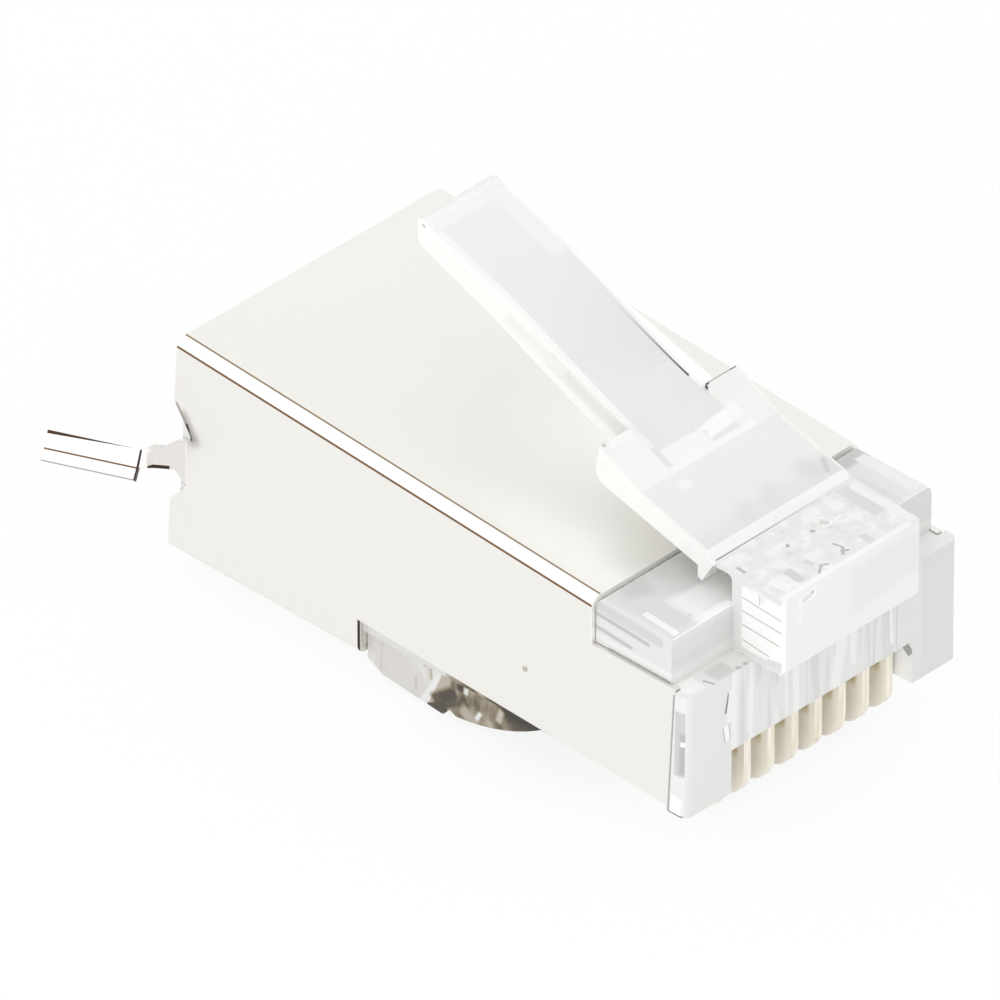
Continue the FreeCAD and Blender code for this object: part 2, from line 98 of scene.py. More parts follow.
class Graph:
    """Short way to build a material: each call adds nodes and returns an output socket."""

    def __init__(self, name):
        self.material = bpy.data.materials.new(name)
        self.material.use_nodes = True
        self.tree = self.material.node_tree
        self.tree.nodes.clear()
        self.out = self.tree.nodes.new("ShaderNodeOutputMaterial")
        coordinates = self.add("ShaderNodeTexCoord")
        self.place = coordinates.outputs["Object"]
        self.x, self.y, self.z = self.axes(self.place, 1 / MM)
        self.nx, self.ny, self.nz = self.axes(coordinates.outputs["Normal"], 1.0)
        self.top = self.within(self.nz, 0.7, 1.1, 0.1)
        self.front = self.within(self.ny, -1.1, -0.7, 0.1)
        self.side = self.within(self.math("ABSOLUTE", self.nx), 0.8, 1.1, 0.1)
        self.warmth = 0.0

    def add(self, kind, **inputs):
        node = self.tree.nodes.new(kind)
        for name, value in inputs.items():
            self.put(node.inputs[name.replace("_", " ")], value)
        return node

    def put(self, target, value):
        if isinstance(value, bpy.types.NodeSocket):
            self.tree.links.new(value, target)
        else:
            target.default_value = value

    def math(self, operation, *values):
        node = self.tree.nodes.new("ShaderNodeMath")
        node.operation = operation
        for target, value in zip(node.inputs, values):
            self.put(target, value)
        return node.outputs[0]

    def axes(self, vector, scale):
        """The three parts of a vector, each times the scale."""
        parts = self.add("ShaderNodeSeparateXYZ", Vector=vector)
        return [self.math("MULTIPLY", item, scale) for item in parts.outputs]

    def within(self, value, low, high, soft=0.03):
        """1 where the value lies between low and high, falling to 0 over the soft distance outside."""
        away = self.math("ABSOLUTE", self.math("SUBTRACT", value, (low + high) / 2))
        half = (high - low) / 2
        ends = {"From_Min": half, "From_Max": half + soft, "To_Min": 1.0, "To_Max": 0.0}
        node = self.add("ShaderNodeMapRange", Value=away, **ends)
        node.interpolation_type = "SMOOTHSTEP"
        return node.outputs["Result"]

    def all_of(self, *masks):
        result = masks[0]
        for mask in masks[1:]:
            result = self.math("MULTIPLY", result, mask)
        return result

    def patch(self, first, first_range, second, second_range, soft=0.03):
        """1 in a rectangle of the plane of two coordinates."""
        return self.all_of(
            self.within(first, *first_range, soft),
            self.within(second, *second_range, soft),
        )

    def stroke(self, first, second, start, end, width, soft=0.03):
        """1 on a straight line from start to end in the plane of two coordinates."""
        length = math.dist(start, end)
        along = ((end[0] - start[0]) / length, (end[1] - start[1]) / length)
        offset = start[0] * along[0] + start[1] * along[1]
        step = self.math("MULTIPLY_ADD", second, along[1], -offset)
        ahead = self.math("MULTIPLY_ADD", first, along[0], step)
        offset = start[0] * -along[1] + start[1] * along[0]
        step = self.math("MULTIPLY_ADD", second, along[0], -offset)
        aside = self.math("MULTIPLY_ADD", first, -along[1], step)
        return self.all_of(
            self.within(ahead, 0.0, length, soft),
            self.within(aside, -width / 2, width / 2, soft),
        )

    def mix(self, kind, share, first, second):
        node = self.tree.nodes.new("ShaderNodeMix")
        node.data_type = kind
        used = [item for item in node.inputs if item.enabled]
        for target, value in zip(used, (share, first, second)):
            self.put(target, value)
        return [item for item in node.outputs if item.enabled][0]

    def paint(self, tone, mask, value):
        """The tone, with another grey where the mask is 1."""
        return self.mix("FLOAT", mask, tone, grey(value))

    def strokes(self, tone, face, first, second, marks):
        """Lines of one face, each as start, end, width, grey and softness."""
        for start, end, width, value, soft in marks:
            line = self.stroke(first, second, start, end, width, soft)
            tone = self.paint(tone, self.all_of(face, line), value)
        return tone

    def blend(self, share, first, second):
        """Colour that goes from the first to the second as the share goes from 0 to 1."""
        return self.mix("RGBA", share, first, second)

    def spread(self, value, low, high, least=0.0, most=1.0):
        """A value from least to most turned into low to high."""
        ends = {"From_Min": least, "From_Max": most, "To_Min": low, "To_Max": high}
        node = self.add("ShaderNodeMapRange", Value=value, **ends)
        return node.outputs["Result"]

    def stretched(self, along_x, along_y, along_z):
        """Place on the piece in millimetres, with each direction times its own factor."""
        node = self.add("ShaderNodeCombineXYZ")
        place = (self.x, self.y, self.z)
        for target, value, factor in zip(node.inputs, place, (along_x, along_y, along_z)):
            self.put(target, self.math("MULTIPLY", value, factor))
        return node.outputs[0]

    def noise(self, scale, detail=2.0, vector=None):
        node = self.add("ShaderNodeTexNoise", Scale=scale, Detail=detail, Vector=vector or self.place)
        return node.outputs["Fac"]

    def bump(self, height, strength, distance):
        node = self.add("ShaderNodeBump", Strength=strength, Distance=distance, Height=height)
        return node.outputs["Normal"]

    def finish(self, shader):
        self.tree.links.new(shader, self.out.inputs["Surface"])
        return self.material


def grey(value):
    """Brightness as a picture shows it, from 0 to 255, made linear."""
    share = value / 255
    return share / 12.92 if share <= 0.04045 else ((share + 0.055) / 1.055) ** 2.4


def rgb(r, g, b):
    return (grey(r), grey(g), grey(b), 1.0)


def rail_tone(g, tone):
    """Low parts of the nose beside the block: grey, with light stripes and dark lines along them that
    are painted refractions of the inner edges, a painted highlight along their front top edge, and
    painted light in the shaded gap under the latch.
    """
    rails = g.within(g.y, rail_front - 0.05, shield_front, 0.02)
    tops = g.all_of(rails, g.top, g.within(g.z, 5.80, 6.00))
    tone = g.paint(tone, tops, 224)
    cloud = g.spread(g.noise(0.5, 1.0, g.stretched(1.0, 0.5, 1.0)), 0.0, 0.9, 0.45, 0.62)
    tone = g.paint(tone, g.all_of(tops, cloud), 214)
    tone = g.paint(tone, g.all_of(tops, g.within(g.x, 2.9, 6.0, 0.02)), 238)
    far_corner = g.all_of(tops, g.within(g.x, 4.35, 5.4, 0.10), g.within(g.y, 3.30, 4.0, 0.25))
    tone = g.paint(tone, far_corner, 205)
    tone = g.strokes(tone, tops, g.x, g.y, (
        ((-4.30, 3.70), (-4.50, 3.20), 0.50, 211, 0.40),
        ((-3.98, 2.30), (-4.05, 1.05), 0.40, 238, 0.25),
        ((-3.40, 1.35), (-3.60, 1.05), 0.25, 214, 0.15),
        ((-4.25, 1.38), (-4.25, 1.30), 0.10, 205, 0.06),
        ((-5.13, 2.35), (-5.22, 1.00), 0.20, 250, 0.03),
        ((3.40, 3.00), (3.60, 1.00), 0.30, 230, 0.25),
        ((4.20, 2.60), (4.30, 1.00), 0.15, 232, 0.15),
        ((5.10, 3.30), (5.10, 1.10), 0.30, 246, 0.15),
    ))
    # Painted light: the shaded gap under the latch is lifted to near white.
    gap_painted_light = g.all_of(
        g.within(g.x, -4.0, 3.0, 0.5),
        g.within(g.y, rail_front, 2.1, 0.3),
        g.within(g.z, 5.7, 6.88),
    )
    tone = g.paint(tone, gap_painted_light, 248)
    sides = g.all_of(rails, g.within(g.z, 4.40, 5.90, 0.05), g.side)
    tone = g.paint(tone, sides, 224)
    tone = g.strokes(tone, sides, g.y, g.z, (
        ((3.95, 5.68), (1.30, 5.60), 0.18, 208, 0.16),
        ((3.95, 5.41), (1.80, 5.30), 0.03, 186, 0.10),
        ((3.95, 4.94), (2.50, 4.85), 0.03, 188, 0.10),
        ((3.95, 4.62), (0.90, 4.62), 0.10, 234, 0.10),
        ((3.40, 4.39), (0.85, 4.39), 0.03, 165, 0.04),
    ))
    at_front = g.within(g.y, rail_front - 0.05, rail_front + 0.05)
    ends = g.all_of(g.front, at_front, g.within(g.z, shelf_height, nose_height))
    tone = g.paint(tone, ends, 220)
    tone = g.paint(tone, g.all_of(ends, g.within(g.z, shelf_height, 4.60, 0.30)), 232)
    # Painted highlight along the rails' front top edge.
    rail_edge_highlight = g.all_of(g.within(g.y, 0.78, 0.93, 0.01), g.within(g.z, 5.84, 6.0, 0.01))
    return g.paint(tone, rail_edge_highlight, 250)


def shelf_tone(g, tone):
    """Low step in front of the rails, with painted highlights and a dark patch."""
    level = g.within(g.z, shelf_height - 0.10, shelf_height + 0.05)
    shelf = g.all_of(g.top, level, g.within(g.y, -0.1, rail_front - 0.02))
    tone = g.paint(tone, shelf, 244)
    # The patches of 252 and 255 are painted highlights.
    return g.strokes(tone, shelf, g.x, g.y, (
        ((-5.50, 0.50), (-4.90, 0.40), 0.60, 255, 0.06),
        ((-4.30, 0.35), (-3.80, 0.35), 0.40, 222, 0.25),
        ((-4.72, 0.35), (-4.62, 0.02), 0.04, 192, 0.05),
        ((-3.55, 0.10), (-3.50, 0.05), 0.06, 200, 0.10),
        ((-3.25, 0.10), (-3.20, 0.05), 0.06, 200, 0.10),
        ((3.00, 0.10), (3.30, 0.60), 0.25, 252, 0.05),
    ))


def block_tone(g, tone):
    """Block that carries the latch: its top, its near side and its front."""
    width = g.within(g.x, -block_half_width - 0.05, block_half_width + 0.05, 0.01)
    block = g.all_of(width, g.within(g.z, shelf_height + 0.05, block_top_rear + 0.17))
    for part in (block_top_tone, block_side_tone, block_front_tone):
        tone = part(g, tone, block)
    return tone


def block_top_tone(g, tone, block):
    """Light and dark blotches and small marks in the block's top, a painted highlight along its front
    edge, a dark line of painted shade at its rear, and the gate mark's hollow painted light over its
    shade.
    """
    height = g.within(g.z, block_top_front - 0.10, block_top_rear + 0.17)
    top = g.all_of(block, g.top, height, g.within(g.y, -1.2, 1.72, 0.01))
    tone = g.paint(tone, top, 236)
    blotches = g.noise(2.2, 3.0, g.stretched(1.0, 1.0, 0.2))
    tone = g.paint(tone, g.all_of(top, g.spread(blotches, 0.0, 1.0, 0.50, 0.60)), 245)
    tone = g.paint(tone, g.all_of(top, g.spread(blotches, 1.0, 0.0, 0.32, 0.42)), 227)
    tone = g.strokes(tone, top, g.x, g.y, (
        # Painted shade: dark line at the hinge groove behind the block.
        ((-2.93, 1.57), (2.60, 1.62), 0.03, 120, 0.03),
        ((-2.73, 0.88), (-2.74, 0.58), 0.07, 195, 0.06),
        ((-0.90, 0.66), (-0.85, 0.60), 0.10, 180, 0.04),
        ((0.15, 0.66), (0.22, 0.58), 0.08, 185, 0.04),
        ((0.18, -0.20), (0.28, -0.50), 0.05, 190, 0.03),
        ((0.28, -0.50), (0.04, -0.75), 0.05, 190, 0.05),
        ((0.10, -0.60), (0.32, -0.72), 0.06, 188, 0.03),
        ((-1.14, -0.90), (-0.85, -0.70), 0.05, 188, 0.03),
        ((-0.87, -0.66), (-0.62, -0.78), 0.05, 192, 0.03),
        ((-1.78, -0.20), (-1.76, -0.80), 0.24, 215, 0.08),
        ((-1.05, -0.20), (-0.98, -0.50), 0.18, 222, 0.05),
        ((1.12, -0.50), (1.10, -0.95), 0.22, 222, 0.06),
        ((-2.48, -0.20), (-2.32, -0.85), 0.35, 248, 0.05),
        ((2.33, 1.40), (2.30, -0.05), 0.35, 222, 0.15),
        ((2.62, 1.30), (2.80, -1.00), 0.18, 244, 0.10),
        ((1.27, 0.58), (1.27, 0.60), 0.20, 255, 0.05),
        ((0.60, 0.70), (0.90, 0.70), 0.34, 245, 0.10),
        # Painted highlight along the block's front top edge.
        ((-2.90, -1.06), (2.60, -1.06), 0.20, 249, 0.04),
    ))
    # The gate mark's hollow is painted light to hide its shade.
    gate_mark_painted_light = g.all_of(
        g.within(g.x, 0.55, 0.95),
        g.within(g.y, 0.50, 0.90),
        g.within(g.z, 6.8, 7.05),
    )
    return g.paint(tone, gate_mark_painted_light, 250)


def block_side_tone(g, tone, block):
    """Near side of the block, painted bright in front and greyer behind under the latch, as light and
    shade, with thin grey lines along it and a small painted highlight.
    """
    near = g.all_of(block, g.side, g.within(g.x, -3.1, -2.9))
    tone = g.paint(tone, near, 228)
    # Painted light: the front of the near side is painted bright as lit plastic.
    bright = g.all_of(near, g.within(g.y, -1.2, 0.42, 0.15), g.within(g.z, 4.62, 6.70, 0.12))
    tone = g.paint(tone, bright, 250)
    return g.strokes(tone, near, g.y, g.z, (
        ((0.46, 6.34), (-1.08, 6.23), 0.02, 196, 0.03),
        ((0.45, 5.86), (-1.09, 5.80), 0.02, 196, 0.03),
        ((0.45, 5.37), (-1.01, 5.30), 0.02, 196, 0.03),
        ((0.45, 4.83), (-0.60, 4.74), 0.02, 200, 0.03),
        ((0.10, 6.72), (-0.40, 6.66), 0.30, 238, 0.05),
        # Painted highlight: small white patch high on the side.
        ((0.05, 6.68), (-0.12, 6.52), 0.22, 254, 0.02),
        ((-0.22, 6.70), (-0.22, 6.40), 0.02, 205, 0.03),
        ((-0.60, 4.52), (-1.10, 4.60), 0.16, 222, 0.10),
        ((0.30, 4.42), (-0.50, 4.38), 0.12, 226, 0.10),
    ))


def block_front_tone(g, tone, block):
    """Pale front of the block, with a soft darker band across it and a bright line along its near edge,
    painted as light and shade, and a few small marks.
    """
    face = g.all_of(block, g.front, g.within(g.y, -1.2, -1.0))
    tone = g.paint(tone, face, 238)
    return g.strokes(tone, face, g.x, g.z, (
        ((0.30, 5.80), (2.60, 6.00), 0.90, 232, 0.60),
        ((-2.25, 6.55), (-1.55, 6.68), 0.30, 247, 0.05),
        ((-2.10, 6.57), (-1.75, 6.64), 0.14, 228, 0.05),
        ((-1.72, 6.70), (-1.66, 6.68), 0.06, 196, 0.05),
        ((-2.30, 5.90), (-2.20, 6.20), 0.16, 243, 0.08),
        ((-2.86, 4.40), (-2.86, 6.90), 0.06, 250, 0.05),
    ))


def wall_tone(g, tone):
    """Front of the nose: upright streaks over the contacts, and plainer fronts of the pillars."""
    height = g.within(g.z, -0.1, shelf_height + 0.1)
    wall = g.all_of(g.front, g.within(g.y, -0.1, 0.35), height)
    tone = g.paint(tone, wall, 228)
    over_contacts = g.within(g.x, -recess_half_width, 3.15, 0.03)
    middle = g.all_of(wall, over_contacts, g.within(g.z, 1.40, shelf_height))
    streaks = g.noise(2.4, 2.0, g.stretched(1.0, 0.0, 0.06))
    tone = g.paint(tone, g.all_of(middle, g.spread(streaks, 0.0, 1.0, 0.54, 0.60)), 239)
    tone = g.paint(tone, g.all_of(middle, g.spread(streaks, 1.0, 0.0, 0.40, 0.45)), 217)
    tone = g.paint(tone, g.all_of(wall, g.within(g.x, 4.26, 6.0, 0.02)), 221)
    tone = g.paint(tone, g.all_of(wall, g.within(g.x, 3.10, 4.20, 0.05)), 225)
    return g.strokes(tone, wall, g.x, g.z, (
        ((-4.01, 3.66), (-4.14, 3.00), 0.05, 130, 0.03),
        ((-4.10, 2.52), (-4.04, 2.00), 0.16, 247, 0.05),
        ((-4.24, 2.50), (-4.16, 1.98), 0.02, 188, 0.03),
        ((-4.00, 2.62), (-3.93, 2.00), 0.02, 200, 0.03),
        ((-3.90, 3.70), (-4.00, 2.60), 0.14, 240, 0.05),
        ((-3.05, 3.60), (-3.08, 1.90), 0.16, 240, 0.05),
        ((2.20, 4.22), (3.00, 4.22), 0.04, 150, 0.04),
        ((3.20, 4.10), (3.20, 1.60), 0.02, 208, 0.03),
        ((2.92, 4.10), (2.98, 1.90), 0.08, 240, 0.04),
    ))


def pillar_tone(g, tone):
    """Sides of the corner pillars, grey in the middle and bright below, and their inner faces, white
    with a painted shadow of the ceiling across them.
    """
    height = g.within(g.z, -0.1, shelf_height + 0.1)
    side = g.all_of(g.side, g.within(g.y, -0.1, 0.85), height)
    tone = g.paint(tone, side, 232)
    tone = g.strokes(tone, side, g.y, g.z, (
        ((0.22, 3.72), (0.26, 1.50), 0.30, 202, 0.10),
        ((0.12, 2.95), (0.16, 1.60), 0.10, 182, 0.12),
        ((0.13, 2.58), (0.13, 2.70), 0.14, 252, 0.04),
        ((0.38, 0.62), (0.42, 0.10), 0.30, 252, 0.08),
        ((0.47, 4.30), (0.70, 0.05), 0.03, 160, 0.04),
        ((0.02, 3.30), (0.02, 0.05), 0.03, 172, 0.04),
        ((0.02, 0.02), (0.70, 0.02), 0.04, 140, 0.03),
    ))
    facing_in = g.within(g.x, recess_half_width - 0.07, recess_half_width + 0.03)
    inner = g.all_of(g.side, facing_in, g.within(g.y, 0.0, 1.3), g.within(g.z, 0.0, 1.55))
    tone = g.paint(tone, inner, 253)
    return g.strokes(tone, inner, g.y, g.z, (
        # Painted shadow of the ceiling above the inner face.
        ((0.55, 1.48), (0.05, 1.05), 0.30, 178, 0.04),
    ))


def relief_tone(g, tone):
    """Strain relief in the shield's window: pale behind, dark and mottled in front, and brown there."""
    relief = g.all_of(
        g.within(g.z, -2.0, 0.60),
        g.within(g.y, relief_front - 0.5, wrap_front + 0.4),
        g.within(g.x, -6.0, 6.0),
    )
    pale = g.noise(1.6, 3.0, g.stretched(1.0, 1.0, 0.35))
    tone = g.paint(tone, relief, 215)
    tone = g.paint(tone, g.all_of(relief, g.spread(pale, 0.0, 1.0, 0.50, 0.62)), 224)
    tone = g.strokes(tone, relief, g.y, g.z, (
        ((12.95, 0.10), (13.02, -1.50), 0.05, 208, 0.05),
        ((11.26, 0.00), (11.20, -0.20), 0.05, 170, 0.05),
        ((10.95, -0.15), (10.93, -0.55), 0.06, 188, 0.06),
        ((11.57, -0.80), (11.55, -1.20), 0.05, 200, 0.06),
        ((10.55, -0.30), (11.32, -1.63), 0.14, 234, 0.12),
        ((10.20, -0.10), (10.85, -1.60), 0.36, 184, 0.10),
    ))
    upper = g.all_of(relief, g.within(g.z, 0.0, 0.60, 0.05))
    tone = g.paint(tone, upper, 221)
    dark = g.all_of(relief, g.within(g.y, 5.0, 10.05, 0.15))
    mottle = g.noise(1.5, 4.0, g.stretched(1.0, 1.0, 0.55))
    tone = g.paint(tone, dark, 138)
    tone = g.paint(tone, g.all_of(dark, g.spread(mottle, 0.0, 1.0, 0.46, 0.62)), 200)
    tone = g.paint(tone, g.all_of(dark, g.spread(mottle, 1.0, 0.0, 0.36, 0.46)), 80)
    tone = g.paint(tone, g.all_of(relief, g.within(g.y, 5.0, 7.50, 0.60)), 84)
    darkest = g.stroke(g.y, g.z, (6.0, -0.05), (7.9, -0.20), 0.20, 0.45)
    tone = g.paint(tone, g.all_of(relief, darkest), 44)
    tone = g.strokes(tone, relief, g.y, g.z, (
        ((10.00, -0.75), (10.70, -1.30), 0.44, 80, 0.22),
        ((9.95, -0.60), (10.50, -1.00), 0.20, 66, 0.10),
        ((10.35, -1.30), (11.00, -1.64), 0.30, 70, 0.06),
        ((9.70, -0.08), (9.74, -0.36), 0.14, 56, 0.12),
        ((9.46, -0.18), (9.50, -0.38), 0.06, 226, 0.10),
        ((9.60, -1.05), (9.20, -1.30), 0.20, 180, 0.25),
        ((8.92, -0.84), (9.05, -1.08), 0.05, 232, 0.10),
        ((8.05, -0.36), (8.16, -0.70), 0.06, 196, 0.16),
    ))
    shade = g.spread(tone, 1.0, 0.0, grey(110), grey(225))
    g.warmth = g.all_of(relief, shade)
    return tone


def housing_material():
    """Clear polycarbonate of the housing, milky where it is thick, with painted highlights along its
    edges.
    """
    g = Graph("clear_housing")
    # Painted highlight: the softened edges, whose faces turn between the main directions, are painted
    # near white.
    upright = g.math("MAXIMUM", g.math("ABSOLUTE", g.nx), g.math("ABSOLUTE", g.ny))
    edges = g.within(g.math("MAXIMUM", upright, g.nz), 0.0, 0.965, 0.02)
    cloud = g.noise(0.4, 1.0, g.stretched(1.0, 1.0, 1.0))
    tone = g.paint(g.spread(cloud, grey(234), grey(240)), edges, 250)
    for part in (rail_tone, shelf_tone, block_tone, wall_tone, pillar_tone, relief_tone):
        tone = part(g, tone)
    return plastic(g, tone, 1.0)


def plate_tone(g, tone):
    """Flat front plate of the latch, with soft painted shade towards its front and small painted
    highlights.
    """
    plate = g.all_of(g.top, g.within(g.y, 1.0, crease_y, 0.02))
    tone = g.paint(tone, plate, 242)
    tone = g.paint(tone, g.all_of(plate, g.within(g.y, 1.0, 2.10, 0.7)), 236)
    return g.strokes(tone, plate, g.x, g.y, (
        ((1.90, 2.60), (2.50, 2.35), 0.10, 228, 0.60),
        ((2.70, 2.60), (2.45, 2.15), 0.05, 214, 0.10),
        ((0.50, 2.62), (0.10, 2.25), 0.10, 234, 0.45),
        ((-0.70, 2.48), (-0.95, 2.25), 0.10, 234, 0.45),
        ((-1.70, 4.15), (-1.44, 4.12), 0.14, 251, 0.20),
        ((2.88, 4.40), (2.88, 2.90), 0.14, 249, 0.03),
    ))


def shoulder_tone(g, tone, across):
    """Rising part behind the plate's crease: shoulders on both sides of the lever's root painted bright
    as faces turned to the light, with painted highlights and dark lines of painted shade at their rear
    step.
    """
    ramps = g.all_of(g.top, g.within(g.y, crease_y, 6.4, 0.02))
    # Painted light: the ramps on both sides of the lever are painted bright.
    tone = g.paint(tone, g.all_of(ramps, g.within(across, 1.55, 3.0, 0.02)), 250)
    tone = g.paint(tone, g.all_of(ramps, g.within(g.x, 1.60, 3.0, 0.02)), 247)
    return g.strokes(tone, ramps, g.x, g.y, (
        ((-1.50, 4.72), (2.00, 4.72), 0.14, 253, 0.08),
        ((0.45, 5.18), (1.85, 5.32), 0.36, 255, 0.12),
        ((0.10, 5.42), (0.42, 5.17), 0.06, 228, 0.08),
        ((0.60, 4.92), (1.50, 4.90), 0.10, 238, 0.05),
        ((-1.25, 5.08), (0.30, 5.06), 0.50, 252, 0.18),
        ((-2.55, 6.28), (-1.75, 6.22), 0.34, 255, 0.05),
        # Painted shade: dark lines along the shoulders' rear step.
        ((-2.80, 6.25), (-2.76, 6.32), 0.08, 205, 0.05),
        ((1.62, 6.31), (2.90, 6.31), 0.01, 130, 0.02),
        ((2.60, 6.31), (2.90, 6.31), 0.02, 70, 0.02),
        ((1.60, 6.30), (1.68, 6.30), 0.05, 60, 0.03),
    ))


def lever_tone(g, tone, across):
    """Top of the lever: painted highlights along its edges and at its tip, with a line that darkens to
    the root.
    """
    width = g.within(across, 0.0, lever_half_width + 0.1)
    lever = g.all_of(g.top, width, g.within(g.y, 5.6, lever_end + 0.1))
    # Painted highlights along the lever's edges.
    tone = g.strokes(tone, lever, g.x, g.y, (
        ((1.56, 15.00), (1.56, 6.40), 0.16, 254, 0.02),
        ((1.15, 14.50), (1.20, 12.00), 0.35, 247, 0.30),
        ((-1.48, 14.60), (-1.46, 4.80), 0.20, 253, 0.05),
    ))
    far_line = g.all_of(lever, g.stroke(g.x, g.y, (1.35, 9.70), (1.46, 6.90), 0.05, 0.03))
    tone = g.mix("FLOAT", far_line, tone, g.spread(g.y, grey(60), grey(232), 7.0, 9.6))
    # Painted highlight at the tip.
    tip = g.all_of(g.within(g.y, lever_end - 0.65, lever_end + 0.1, 0.2), g.within(g.z, 12.0, 12.6))
    return g.paint(tone, tip, 250)


def latch_side_tone(g, tone, across):
    """Sides of the latch painted white as lit faces, with a grey band and two small marks on the
    lever's, the dark one painted shade in the inner corner at the shoulder.
    """
    sides = g.all_of(g.side, g.within(g.z, 6.0, 13.0))
    # Painted light: the sides are painted white as lit faces.
    tone = g.paint(tone, sides, 252)
    arm_side = g.all_of(sides, g.within(across, 0.0, lever_half_width + 0.05))
    return g.strokes(tone, arm_side, g.y, g.z, (
        ((9.60, 9.70), (6.70, 8.55), 0.30, 233, 0.25),
        ((11.30, 10.35), (9.20, 9.55), 0.15, 243, 0.30),
        # Painted shade in the inner corner at the shoulder.
        ((6.30, 8.72), (6.30, 8.95), 0.16, 70, 0.03),
        ((14.80, 12.03), (14.86, 12.05), 0.05, 200, 0.06),
    ))


def latch_material():
    """Clear polycarbonate of the latch: sides and edges painted white as light and highlights round
    greyer flat faces, and undersides painted light.
    """
    g = Graph("clear_latch")
    across = g.math("ABSOLUTE", g.x)
    tone = g.spread(g.y, grey(235), grey(244), 9.0, 14.5)
    tone = g.paint(tone, g.within(g.y, 5.9, 7.4, 1.5), 237)
    tone = plate_tone(g, tone)
    for part in (shoulder_tone, lever_tone, latch_side_tone):
        tone = part(g, tone, across)
    # Painted light: undersides painted near white, which lifts their shade and their reflection in the
    # shield below.
    under = g.within(g.nz, -1.1, -0.5, 0.1)
    tone = g.paint(tone, under, 254)
    # Painted highlight on the bevel across the plate's front.
    bevel = g.all_of(g.within(g.y, 1.5, 1.95, 0.02), g.within(g.z, 7.0, 7.4))
    tone = g.paint(tone, bevel, 255)
    # Painted highlights along the plate's side rims.
    rims = g.within(across, block_half_width - 0.07, block_half_width - 0.01, 0.01)
    tone = g.paint(tone, rims, 251)
    return plastic(g, tone, latch_alpha)


def plastic(g, tone, alpha):
    """Gloss plastic whose colour is the tone: a little less blue than grey, brown where it is warm."""
    less_green = g.math("MULTIPLY_ADD", g.warmth, -0.20, 1.0)
    less_blue = g.math("MULTIPLY_ADD", g.warmth, -0.50, 0.985)
    green = g.math("MULTIPLY", tone, less_green)
    blue = g.math("MULTIPLY", tone, less_blue)
    colour = g.add("ShaderNodeCombineXYZ", X=tone, Y=green, Z=blue).outputs[0]
    haze = g.noise(0.35, 2.0, g.stretched(1.0, 1.0, 1.0))
    shader = g.add("ShaderNodeBsdfPrincipled", Base_Color=colour, IOR=clear_ior, Alpha=alpha)
    g.put(shader.inputs["Transmission Weight"], clear_transmission)
    g.put(shader.inputs["Roughness"], g.spread(haze, 0.06, 0.14))
    return g.finish(shader.outputs["BSDF"])


def fold_marks(g, colour, out, near_side):
    """Lengthwise folds of the sheet: a white band of painted highlight on the near one, and thin brown
    lines of painted shade along them.
    """
    rise = g.math("MULTIPLY_ADD", g.y, shield_slope, nose_height - shield_front * shield_slope)
    depth = g.math("SUBTRACT", rise, g.z)
    flat_end = shield_half_width - fold_radius
    past_side = shield_half_width + 0.10
    # Painted highlight: white band along the near fold.
    band = g.all_of(g.within(out, flat_end, past_side, 0.01), g.within(depth, -0.1, line_depth, 0.01))
    colour = g.blend(g.all_of(band, near_side), colour, rgb(254, 254, 253))
    # Painted shade: thin brown lines along the folds.
    along_fold = g.within(out, flat_end - 0.035, flat_end + 0.01, 0.02)
    upper_line = g.all_of(along_fold, g.within(depth, -0.1, 0.05), near_side)
    colour = g.blend(upper_line, colour, rgb(144, 116, 88))
    along_side = g.within(out, shield_half_width - 0.10, past_side)
    lower_line = g.all_of(along_side, g.within(depth, line_depth, line_depth + 0.05, 0.02))
    return g.blend(lower_line, colour, rgb(122, 90, 56))


def cut_edges(g, colour, out, near_side):
    """Cut edges of the sheet: dark beside the pillar and in the window, and white at the top's front,
    where the white is painted light over the shade below the latch.
    """
    body = g.within(g.x, -shield_half_width - 0.05, shield_half_width + 0.10, 0.01)
    cut_edge = g.all_of(g.front, body, near_side, g.within(g.y, 0.0, 1.2), g.within(g.z, -1.0, 4.25))
    colour = g.blend(cut_edge, colour, rgb(70, 58, 56))
    wrap_edge = g.all_of(g.front, g.within(g.y, wrap_front - 0.6, wrap_front + 0.6))
    colour = g.blend(wrap_edge, colour, rgb(232, 229, 224))
    at_side = g.within(out, shield_half_width - 0.10, shield_half_width + 0.10, 0.01)
    outer = g.all_of(at_side, g.within(g.z, -0.70, 0.6, 0.01))
    colour = g.blend(g.all_of(wrap_edge, outer), colour, rgb(58, 46, 46))
    # Painted light: the top's front edge is painted white over its shade.
    lit_front_edge = g.within(g.y, shield_front - 0.1, shield_front + 0.02, 0.01)
    return g.blend(g.all_of(g.within(g.z, 4.4, 6.2), lit_front_edge), colour, rgb(254, 253, 250))


def notch_marks(g, colour, near_side):
    """Shade and dark rim of the notch above the tail's root."""
    side = g.all_of(g.side, near_side)
    halo = g.all_of(side, g.stroke(g.y, g.z, (20.85, 4.30), (20.45, 3.70), 0.10, 0.40))
    colour = g.blend(g.math("MULTIPLY", halo, 0.55), colour, rgb(120, 112, 104))
    rim = g.stroke(g.y, g.z, (21.10, 4.70), (20.66, 4.06), 0.04, 0.07)
    colour = g.blend(g.all_of(side, rim), colour, rgb(170, 164, 158))
    crescent = g.stroke(g.y, g.z, (20.70, 4.10), (20.53, 3.66), 0.07, 0.09)
    return g.blend(g.all_of(side, crescent), colour, rgb(66, 56, 50))


def tail_faces(g, colour):
    """White strip and light grey neck of the ground tail; the strip is painted whiter as a painted
    reflection of the bright surroundings.
    """
    colour = g.blend(g.within(g.x, -9.0, -6.5, 0.05), colour, rgb(254, 253, 252))
    return g.blend(g.within(g.x, neck_end, -5.74, 0.03), colour, rgb(228, 225, 221))


